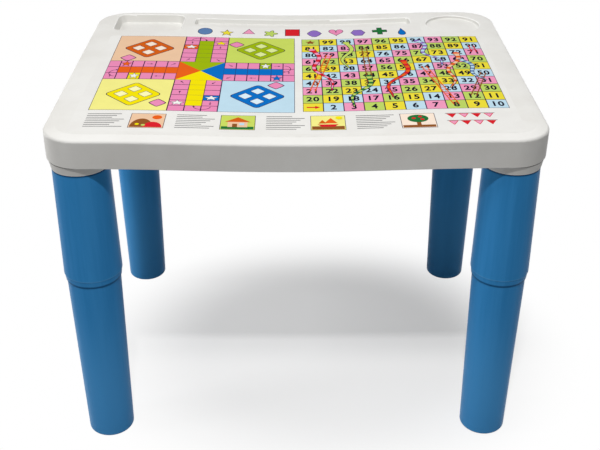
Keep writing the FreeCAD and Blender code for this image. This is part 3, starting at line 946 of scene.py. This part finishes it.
def home_at(column, row):
    """Inks of the home that holds a place on the ludo board, or None."""
    for (left, front), inks in LUDO_HOMES.items():
        if left < column < left + HOME_CELLS and front < row < front + HOME_CELLS:
            return inks
    return None


def in_middle(column, row):
    low = HOME_CELLS
    high = LUDO_CELLS - HOME_CELLS
    return low < column < high and low < row < high


def on_lane(column, row):
    """Whether a place is on one of the four lanes that lead to the middle."""
    off_rim = 1 < column < LUDO_CELLS - 1 and 1 < row < LUDO_CELLS - 1
    return off_rim and LUDO_CELLS // 2 in (int(column), int(row)) and not in_middle(column, row)


def on_track(column, row):
    return not in_middle(column, row) and not on_lane(column, row)


def facing_side(column, row):
    """Side of the board that a place faces from the middle."""
    across = column - LUDO_CELLS / 2
    along = row - LUDO_CELLS / 2
    if abs(across) > abs(along):
        return "right" if across > 0 else "left"
    return "back" if along > 0 else "front"


def ludo_ink(column, row):
    grounds = home_at(column, row) or LUDO_STARS.get((int(column), int(row)))
    if grounds:
        return grounds[0]
    return "pink" if on_track(column, row) else LUDO_LANES[facing_side(column, row)]


class TABLE_OT_ludo_board(bpy.types.Operator):
    """Print the ludo board with its homes, track and lanes"""

    bl_idname = "table.ludo_board"
    bl_label = "Ludo Board"

    def execute(self, context):
        sizes = context.scene.table_print
        board = ludo_board()
        grounds = [ground for ground, _ in LUDO_HOMES.values()]
        board.start_sheet(["outline", "pink", *LUDO_LANES.values(), *grounds])
        for home in LUDO_HOMES.values():
            board.merge(lambda *place: home_at(*place) == home)
        board.merge(in_middle)
        bpy.ops.mesh.poke()
        for side in LUDO_LANES:
            board.merge(lambda *place: in_middle(*place) and facing_side(*place) == side)
        board.pick(in_middle)
        board.ink(ludo_ink)
        board.line_and_ink(sizes.lane_line_width, on_lane, ludo_ink)
        board.line_and_ink(sizes.line_width, on_track, ludo_ink)
        board.print_sheet("ludo_board")
        return {"FINISHED"}


def home_mark(board, corner, pale, strong):
    """Rounded diamond with four pale diamonds on it, in the middle of a home."""
    middle = board.place(corner[0] + HOME_CELLS / 2, corner[1] + HOME_CELLS / 2)
    size = board.size(*corner) * HOME_CELLS * MARK_SIZE
    shapes = [stamp(DIAMOND, middle, size, strong, 2, MARK_RIM)]
    for side in ((-1, 0), (1, 0), (0, -1), (0, 1)):
        place = middle + Vector(side) * size * SPOT_PLACE
        shapes.append(stamp(DIAMOND, place, size * SPOT_SIZE, f"{pale}_light", 3, SPOT_RIM))
    return shapes


def arrow_head(middle, along, half_width, layer):
    turn = math.atan2(along.y, along.x) - math.pi / 2
    return stamp(TRIANGLE, middle, (half_width * MM, HEAD_RADIUS), "outline", layer, turn=turn)


def arrow(board, column, row, heading):
    """Small arrow in the middle of a square of the track."""
    middle = board.middle(column, row)
    turn = math.radians(heading)
    along = Vector((math.cos(turn), math.sin(turn)))
    neck = middle + along * ARROW_NECK
    shaft = bar(middle - along * ARROW_BACK, neck, ARROW_WIDTH, "outline", 2)
    return [shaft, arrow_head(neck + along * ARROW_NECK, along, HEAD_HALF_WIDTH, 2)]


def turning_arrow(board, turn):
    """Bent arrow at the end of an arm, from the track into the lane, for one quarter turn of the board."""
    middle = LUDO_CELLS / 2
    cosine = round(math.cos(turn))
    sine = round(math.sin(turn))

    def path(reach):
        angle = -math.pi * reach
        across = TURN_ACROSS + TURN_RADIUS * math.cos(angle)
        along = TURN_ALONG - middle + TURN_RADIUS * math.sin(angle)
        return board.place(middle + across * cosine - along * sine, middle + across * sine + along * cosine)

    end = path(1.0)
    along = (end - path(0.96)).normalized()
    shaft = ribbon(path, lambda reach: TURN_HALF_WIDTH, 2, ["outline"], steps=24)
    return [shaft, arrow_head(end + along * TURN_NECK, along, TURN_HEAD_HALF_WIDTH, 3)]


class TABLE_OT_ludo_marks(bpy.types.Operator):
    """Print the diamonds, stars, arrows and tags on the ludo board"""

    bl_idname = "table.ludo_marks"
    bl_label = "Ludo Marks"

    def execute(self, context):
        board = ludo_board()
        whole = board.place(LUDO_CELLS, LUDO_CELLS) - board.place(0, 0)
        shapes = []
        for corner, inks in LUDO_HOMES.items():
            shapes += home_mark(board, corner, *inks)
        for square, (_, star_ink) in LUDO_STARS.items():
            shapes.append(stamp(STAR, board.middle(*square), board.size(*square) / 2, star_ink, 2, STAR_RIM))
        for tag in LUDO_TAGS:
            place = board.place(0, 0) + Vector(tag) * whole
            shapes.append(stamp(pillow(), place, TAG_SIZE, "pink", 2, TAG_RIM))
        for column, row, heading in LUDO_ARROWS:
            shapes += arrow(board, column, row, heading)
        for quarter in range(4):
            shapes += turning_arrow(board, quarter * math.pi / 2)
        print_piece("ludo_marks", shapes)
        return {"FINISHED"}


# Number board.

NUMBER_CELLS = 10
LAST_NUMBER = NUMBER_CELLS * NUMBER_CELLS
NUMBER_INKS = ["lemon", "sky", "rose", "leaf"]
# How far the numbers are made bolder, as a share of their height, and their pitch as a share of their width.
NUMERAL_BOLD = 0.032
NUMERAL_PITCH = 1.12
# Arrow on the first square: start and end of its shaft and middle of its head, from the square's middle,
# width of the shaft and half size of the head. Half size of the star on the last square.
FIRST_SHAFT = (-8.0 * MM, 3.0 * MM)
FIRST_HEAD = 4.5 * MM
FIRST_WIDTH = 3.0
FIRST_HEAD_SIZE = (5.5 * MM, 4.0 * MM)
LAST_STAR_SIZE = (8.0 * MM, 9.0 * MM)
# Snakes: square of the head, square of the tail, body, bands, number of waves and swing in millimetres.
SNAKES = (
    (98, 58, "leaf", "lime", 1.0, 9.0),
    (94, 53, "violet", "sky", 1.5, 8.0),
    (81, 22, "rose", "red", 1.5, 9.0),
    (69, 31, "slate", "sky", 1.0, 8.0),
    (66, 16, "red", "orange", 1.0, 12.0),
    (44, 3, "pine", "leaf", 1.0, 9.0),
    (72, 28, "orange", "peach", 1.5, 7.0),
)
SNAKE_BODY = 3.2 * MM
SNAKE_RIM = 0.9 * MM
SNAKE_BANDS = 18
# A snake's nose and the widest place of its head as shares of its length, and how much wider that place is.
SNAKE_NOSE = 0.03
SNAKE_HEAD = 0.04
SNAKE_SWELL = 0.5
# Ladders: square of the foot, square of the top and ink.
LADDERS = ((21, 79, "orange"), (12, 50, "brown"), (37, 84, "brown"), (8, 54, "orange"), (71, 90, "red"))
LADDER_HALF_GAP = 3.4 * MM
RUNG_PITCH = 7.0 * MM
RAIL_WIDTH = 1.5
RUNG_WIDTH = 1.4


def number_board():
    sizes = bpy.context.scene.table_print
    left = FILM_HIGH.x - sizes.number_right - sizes.number_width
    widths = [sizes.number_width / NUMBER_CELLS] * NUMBER_CELLS
    depths = [sizes.number_depth / NUMBER_CELLS] * NUMBER_CELLS
    return Board(left, FILM_LOW.y + sizes.number_front, widths, depths)


def number_place(board, value):
    """Middle of the square of a number. The rows run to and fro from the front left corner."""
    row, step = divmod(value - 1, NUMBER_CELLS)
    return board.middle(step if row % 2 == 0 else NUMBER_CELLS - 1 - step, row)


def number_ink(column, row):
    return NUMBER_INKS[(int(column) - int(row)) % len(NUMBER_INKS)]


class TABLE_OT_number_board(bpy.types.Operator):
    """Print the coloured squares of the number board"""

    bl_idname = "table.number_board"
    bl_label = "Number Board"

    def execute(self, context):
        board = number_board()
        board.start_sheet(["outline", *NUMBER_INKS])
        board.line_and_ink(context.scene.table_print.line_width, lambda *place: True, number_ink)
        board.print_sheet("number_board")
        return {"FINISHED"}


def extent(shape, axis):
    """Middle and size of a shape along one axis."""
    places = [vertex.co[axis] for vertex in shape.data.vertices]
    return (min(places) + max(places)) / 2, max(places) - min(places)


def digit_shapes(height, width):
    """One flat mesh for each digit, bold, with its middle at the origin. A nought has the given width."""
    digits = {}
    for digit in "0123456789":
        deselect_all()
        bpy.ops.object.text_add()
        text = bpy.context.object.data
        text.body = digit
        text.size = height
        text.offset = height * NUMERAL_BOLD
        text.resolution_u = 4
        bpy.ops.object.convert(target="MESH")
        shape = bpy.context.object
        shape.data.materials.clear()
        paint(shape, ["numeral"])
        digits[digit] = shape
    stretch_x = width / extent(digits["0"], 0)[1]
    stretch_y = height / extent(digits["0"], 1)[1]
    for shape in digits.values():
        x = extent(shape, 0)[0]
        y = extent(shape, 1)[0]
        for vertex in shape.data.vertices:
            vertex.co = ((vertex.co.x - x) * stretch_x, (vertex.co.y - y) * stretch_y, 0.0)
    return digits


class TABLE_OT_numerals(bpy.types.Operator):
    """Print the numbers in their squares, with an arrow on the first square and a star on the last"""

    bl_idname = "table.numerals"
    bl_label = "Numerals"

    def execute(self, context):
        board = number_board()
        sizes = context.scene.table_print
        pitch = sizes.numeral_width * NUMERAL_PITCH
        digits = digit_shapes(sizes.numeral_height, sizes.numeral_width)
        shapes = []
        for value in range(2, LAST_NUMBER):
            x, y = number_place(board, value)
            figures = str(value)
            for i, figure in enumerate(figures):
                copy = digits[figure].copy()
                copy.data = digits[figure].data.copy()
                copy.location = (x + (i - (len(figures) - 1) / 2) * pitch, y, layer_height(2))
                context.collection.objects.link(copy)
                shapes.append(copy)
        for shape in digits.values():
            bpy.data.objects.remove(shape)
        x, y = number_place(board, 1)
        shapes.append(bar((x + FIRST_SHAFT[0], y), (x + FIRST_SHAFT[1], y), FIRST_WIDTH, "red", 2))
        head = (x + FIRST_HEAD, y)
        shapes.append(stamp(TRIANGLE, head, FIRST_HEAD_SIZE, "red", 2, turn=-math.pi / 2))
        shapes.append(stamp(STAR, number_place(board, LAST_NUMBER), LAST_STAR_SIZE, "brown", 2))
        print_piece("number_numerals", shapes)
        return {"FINISHED"}


def snake_path(head, tail, waves, swing):
    """Place on a snake's middle line for a share of its length, from head to tail."""
    run = tail - head
    side = Vector((-run.y, run.x)).normalized()

    def place(reach):
        fade = math.sin(math.pi * reach) ** 0.6
        return head + run * reach + side * swing * fade * math.sin(math.tau * waves * reach)

    return place


def snake_width(reach):
    """Half of a snake's width at a share of its length: a round head, a body and a thin tail."""
    nose = min(1.0, reach / SNAKE_NOSE) ** 0.5
    head = 1.0 + SNAKE_SWELL * math.exp(-(((reach - SNAKE_HEAD) / SNAKE_NOSE) ** 2))
    return SNAKE_BODY * nose * head * (1.0 - reach) ** 0.5


class TABLE_OT_snakes(bpy.types.Operator):
    """Print the snakes across the number board"""

    bl_idname = "table.snakes"
    bl_label = "Snakes"

    def execute(self, context):
        board = number_board()
        shapes = []
        for head, tail, body_ink, band_ink, waves, swing in SNAKES:
            path = snake_path(number_place(board, head), number_place(board, tail), waves, swing * MM)
            shapes.append(ribbon(path, lambda reach: snake_width(reach) + SNAKE_RIM, 3, ["outline"]))
            shapes.append(ribbon(path, snake_width, 4, [body_ink, band_ink], SNAKE_BANDS))
        print_piece("number_snakes", shapes)
        return {"FINISHED"}


class TABLE_OT_ladders(bpy.types.Operator):
    """Print the ladders across the number board"""

    bl_idname = "table.ladders"
    bl_label = "Ladders"

    def execute(self, context):
        board = number_board()
        shapes = []
        for foot, top, ladder_ink in LADDERS:
            start = number_place(board, foot)
            run = number_place(board, top) - start
            side = Vector((-run.y, run.x)).normalized() * LADDER_HALF_GAP
            for rail in (start - side, start + side):
                shapes.append(bar(rail, rail + run, RAIL_WIDTH, ladder_ink, 3))
            count = int(run.length / RUNG_PITCH)
            for i in range(1, count):
                middle = start + run * i / count
                shapes.append(bar(middle - side, middle + side, RUNG_WIDTH, ladder_ink, 3))
        print_piece("number_ladders", shapes)
        return {"FINISHED"}


# Rows of shapes and pictures.

SHAPE_ROW = (
    (DISC, "slate"),
    (STAR, "lemon"),
    (TRIANGLE, "rose"),
    (FLOWER, "leaf"),
    (SQUARE, "red"),
    (lens(), "violet"),
    (heart(), "pink"),
    (HEXAGON, "violet"),
    (cross(), "pine"),
    (drop(), "blue"),
)
SHAPE_LEFT = -134.0 * MM
SHAPE_PITCH = 32.3 * MM
SHAPE_SWAY = 2.5 * MM
SHAPE_RIM = 0.9

# Pictures: ground, then outline, ink, middle and half size as shares of the picture's size.
PICTURES = (
    (
        "peach",
        (DISC, "orange", 0.76, 0.74, 0.14, 0.14),
        (DOME, "brown", 0.36, 0.05, 0.32, 0.58),
        (DOME, "red", 0.68, 0.05, 0.27, 0.36),
        (DISC, "yellow", 0.24, 0.24, 0.06, 0.06),
        (DISC, "leaf", 0.42, 0.18, 0.06, 0.06),
    ),
    (
        "lime",
        (SQUARE, "pine", 0.5, 0.13, 0.46, 0.09),
        (SQUARE, "peach", 0.5, 0.36, 0.28, 0.18),
        (TRIANGLE, "rust", 0.5, 0.64, 0.42, 0.22),
        (SQUARE, "brown", 0.42, 0.29, 0.07, 0.11),
        (SQUARE, "sky", 0.62, 0.38, 0.07, 0.07),
    ),
    (
        "cream",
        (SQUARE, "brown", 0.5, 0.15, 0.46, 0.11),
        (HULL, "red", 0.5, 0.30, 0.30, 0.08),
        (TRIANGLE, "orange", 0.58, 0.58, 0.22, 0.24),
        (TRIANGLE, "rust", 0.34, 0.53, 0.13, 0.16),
        (DISC, "yellow", 0.82, 0.82, 0.10, 0.10),
    ),
    (
        "peach_light",
        (SQUARE, "brown", 0.5, 0.12, 0.46, 0.08),
        (SQUARE, "brown", 0.5, 0.33, 0.06, 0.15),
        (DISC, "pine", 0.5, 0.64, 0.30, 0.26),
        (DISC, "red", 0.38, 0.66, 0.06, 0.06),
        (DISC, "red", 0.57, 0.76, 0.06, 0.06),
        (DISC, "red", 0.62, 0.56, 0.06, 0.06),
    ),
)
# The row from the film's left and front edges. A picture stands to the right of its ruled lines.
ROW_LEFT = FILM_LOW.x + 17.0 * MM
ROW_FRONT = FILM_LOW.y + 10.0 * MM
PICTURE_PITCH = 108.0 * MM
PICTURE_SHIFT = 53.0 * MM
PICTURE_RIM = 0.7
# Ruled lines: how many, the longest one, the step by which others are shorter, and their width.
LINES = 8
LINE_LENGTH = 46.0 * MM
LINE_STEP = 5.0 * MM
LINE_WIDTH = 1.3
# Strings of pennants: heights as shares of the picture's size, length and width. Number, half size, drop and
# rim of the pennants on each.
STRINGS = (0.95, 0.45)
STRING_LENGTH = 60.0 * MM
STRING_WIDTH = 0.9
PENNANTS = 4
PENNANT_SIZE = (7.0 * MM, 8.0 * MM)
PENNANT_DROP = 5.0 * MM
PENNANT_RIM = 0.9


class TABLE_OT_shape_row(bpy.types.Operator):
    """Print the row of plain shapes between the boards and the pen tray"""

    bl_idname = "table.shape_row"
    bl_label = "Shape Row"

    def execute(self, context):
        sizes = context.scene.table_print
        middle = (FILM_LOW.y + sizes.ludo_front + sizes.ludo_depth + FILM_HIGH.y) / 2
        size = (sizes.shape_width / 2, sizes.shape_depth / 2)
        shapes = []
        for i, (outline, ink_name) in enumerate(SHAPE_ROW):
            place = (SHAPE_LEFT + i * SHAPE_PITCH, middle + SHAPE_SWAY * math.cos(math.pi * i))
            shapes.append(stamp(outline, place, size, ink_name, 1, SHAPE_RIM))
        print_piece("shape_row", shapes)
        return {"FINISHED"}


class TABLE_OT_picture_row(bpy.types.Operator):
    """Print the row of small pictures, ruled lines and pennants along the front"""

    bl_idname = "table.picture_row"
    bl_label = "Picture Row"

    def execute(self, context):
        side = context.scene.table_print.picture_size
        half = Vector((side, side)) / 2
        shapes = []
        for i, (ground, *motifs) in enumerate(PICTURES):
            left = ROW_LEFT + i * PICTURE_PITCH
            for line in range(LINES):
                y = ROW_FRONT + side * (line + 0.6) / LINES
                end = left + LINE_LENGTH - LINE_STEP * ((line * 3 + i) % 4)
                shapes.append(bar((left, y), (end, y), LINE_WIDTH, "rule", 1))
            corner = Vector((left + PICTURE_SHIFT, ROW_FRONT))
            shapes.append(stamp(SQUARE, corner + half, half, ground, 1, PICTURE_RIM))
            for layer, (outline, ink_name, x, y, width, depth) in enumerate(motifs, start=2):
                place = corner + Vector((x, y)) * side
                shapes.append(stamp(outline, place, (width * side, depth * side), ink_name, layer))
        left = ROW_LEFT + len(PICTURES) * PICTURE_PITCH
        for string, height in enumerate(STRINGS):
            y = ROW_FRONT + side * height
            shapes.append(bar((left, y), (left + STRING_LENGTH, y), STRING_WIDTH, "rule", 2))
            for i in range(PENNANTS):
                place = (left + (i + 0.5) * STRING_LENGTH / PENNANTS, y - PENNANT_DROP)
                fill = ("red", "rose")[(i + string) % 2]
                shapes.append(stamp(TRIANGLE, place, PENNANT_SIZE, fill, 1, PENNANT_RIM, math.pi, "red"))
        print_piece("picture_row", shapes)
        return {"FINISHED"}


# Stage.

WHITE = (1.0, 1.0, 1.0, 1.0)
FLOOR_SIZE = 14.0
FLOOR_GAP = 0.3 * MM
# Where the floor's glow goes over from the table's middle to its front, along the table's depth.
GLOW_CHANGE = (0.0, -0.08)
# How the floor's coordinates are moved and stretched, so that they start in the middle of the shadow.
SHADOW_SHIFT = (-0.05, 0.023, 0.0)
SHADOW_STRETCH = (1.0, 1.15, 1.0)
SENSOR_WIDTH = 36.0
# Places of the lamps. Their sizes and powers are settings of the stage.
LAMPS = {
    "overhead": (0.15, 0.04, 2.40),
    "key": (-0.05, -1.32, 2.27),
    "fill": (-1.90, -0.60, 2.10),
    "rim": (-0.95, 0.20, 0.28),
}


def seen_ray(tree):
    """Socket that is 1 for rays that show the stage, also in a gloss, and 0 for rays that light by it."""
    path = add_node(tree, "LightPath")
    mirrored = maths(tree, "MAXIMUM", path.outputs["Is Glossy Ray"], path.outputs["Is Transmission Ray"])
    return maths(tree, "MAXIMUM", path.outputs["Is Camera Ray"], mirrored)


def floor_material():
    """Pale floor that keeps the table's shadow, and goes to plain white away from the table."""
    stage = bpy.context.scene.table_stage
    material = bpy.data.materials.new("floor")
    material.use_nodes = True
    tree = material.node_tree
    tree.nodes.clear()
    seen = seen_ray(tree)
    base = mixed(tree, seen, stage.floor_bounce, stage.floor)
    matt = add_node(tree, "BsdfDiffuse", {"Color": base}).outputs["BSDF"]
    white = add_node(tree, "Emission", {"Color": WHITE, "Strength": 1.0}).outputs["Emission"]
    place = add_node(tree, "TexCoord").outputs["Object"]
    depth = add_node(tree, "SeparateXYZ", {0: place}).outputs["Y"]
    glow = mapped(tree, depth, *GLOW_CHANGE, stage.floor_glow, stage.front_glow, soft=True)
    shadow_place = stretched(tree, place, location=SHADOW_SHIFT, scale=SHADOW_STRETCH)
    away = add_node(tree, "VectorMath", {0: shadow_place}, operation="LENGTH").outputs["Value"]
    fade = mapped(tree, away, stage.shadow_core, stage.shadow_reach, low=glow, soft=True)
    mix = add_node(tree, "MixShader", {0: maths(tree, "MULTIPLY", fade, seen), 1: matt, 2: white})
    add_node(tree, "OutputMaterial", {"Surface": mix.outputs["Shader"]})
    return material


def white_world():
    """World that lights as a soft dome and is seen as white."""
    world = bpy.data.worlds.new("studio")
    world.use_nodes = True
    tree = world.node_tree
    background = tree.nodes["Background"]
    background.inputs["Color"].default_value = WHITE
    strength = mapped(tree, seen_ray(tree), low=bpy.context.scene.table_stage.dome)
    tree.links.new(strength, background.inputs["Strength"])
    return world


class TABLE_OT_stage(bpy.types.Operator):
    """Set up the floor, the light and the camera"""

    bl_idname = "table.stage"
    bl_label = "Stage"

    def execute(self, context):
        stage = context.scene.table_stage
        deselect_all()
        bpy.ops.mesh.primitive_plane_add(size=FLOOR_SIZE, location=(0.0, 0.0, -FLOOR_GAP))
        floor = context.object
        floor.name = "floor"
        bpy.ops.object.transform_apply(location=True, rotation=True, scale=True)
        floor.data.materials.append(floor_material())

        context.scene.world = white_world()
        context.scene.view_settings.view_transform = "Standard"

        for name, place in LAMPS.items():
            bpy.ops.object.light_add(type="AREA", location=place)
            lamp = context.object
            lamp.name = name
            lamp.data.shape = "SQUARE"
            lamp.data.size = getattr(stage, f"{name}_size")
            lamp.data.energy = getattr(stage, f"{name}_power")
            aim = Vector((0.0, 0.0, CAD_BOX[1].z)) - lamp.location
            lamp.rotation_euler = aim.to_track_quat("-Z", "Y").to_euler()

        turn = Euler((math.pi / 2 - stage.camera_tilt, 0.0, -stage.camera_turn))
        bpy.ops.object.camera_add(location=stage.camera_place, rotation=turn)
        camera = context.object
        camera.name = "camera"
        camera.data.sensor_fit = "HORIZONTAL"
        camera.data.sensor_width = SENSOR_WIDTH
        camera.data.lens = stage.lens
        context.scene.camera = camera
        return {"FINISHED"}


PIECES = (
    TABLE_OT_plastic_finish,
    TABLE_OT_ludo_board,
    TABLE_OT_ludo_marks,
    TABLE_OT_number_board,
    TABLE_OT_numerals,
    TABLE_OT_ladders,
    TABLE_OT_snakes,
    TABLE_OT_shape_row,
    TABLE_OT_picture_row,
    TABLE_OT_stage,
)
SETTINGS = {
    "table_plastics": TablePlastics,
    "table_inks": TableInks,
    "table_print": TablePrint,
    "table_stage": TableStage,
}


class TABLE_PT_table(bpy.types.Panel):
    """Pieces of the activity table, in the order in which they are made"""

    bl_idname = "TABLE_PT_table"
    bl_label = "Activity Table"
    bl_space_type = "VIEW_3D"
    bl_region_type = "UI"
    bl_category = "Table"

    def draw(self, context):
        for piece in PIECES:
            self.layout.operator(piece.bl_idname)
        for name, group in SETTINGS.items():
            box = self.layout.box()
            for setting in group.__annotations__:
                box.prop(getattr(context.scene, name), setting)


def register():
    for kind in (*SETTINGS.values(), *PIECES, TABLE_PT_table):
        bpy.utils.register_class(kind)
    for name, group in SETTINGS.items():
        setattr(bpy.types.Scene, name, bpy.props.PointerProperty(type=group))


def unregister():
    for name in SETTINGS:
        delattr(bpy.types.Scene, name)
    for kind in (TABLE_PT_table, *reversed(PIECES), *SETTINGS.values()):
        bpy.utils.unregister_class(kind)


def main():
    register()
    bpy.ops.table.plastic_finish()
    bpy.ops.table.ludo_board()
    bpy.ops.table.ludo_marks()
    bpy.ops.table.number_board()
    bpy.ops.table.numerals()
    bpy.ops.table.ladders()
    bpy.ops.table.snakes()
    bpy.ops.table.shape_row()
    bpy.ops.table.picture_row()
    bpy.ops.table.stage()


if __name__ == "__main__":
    main()
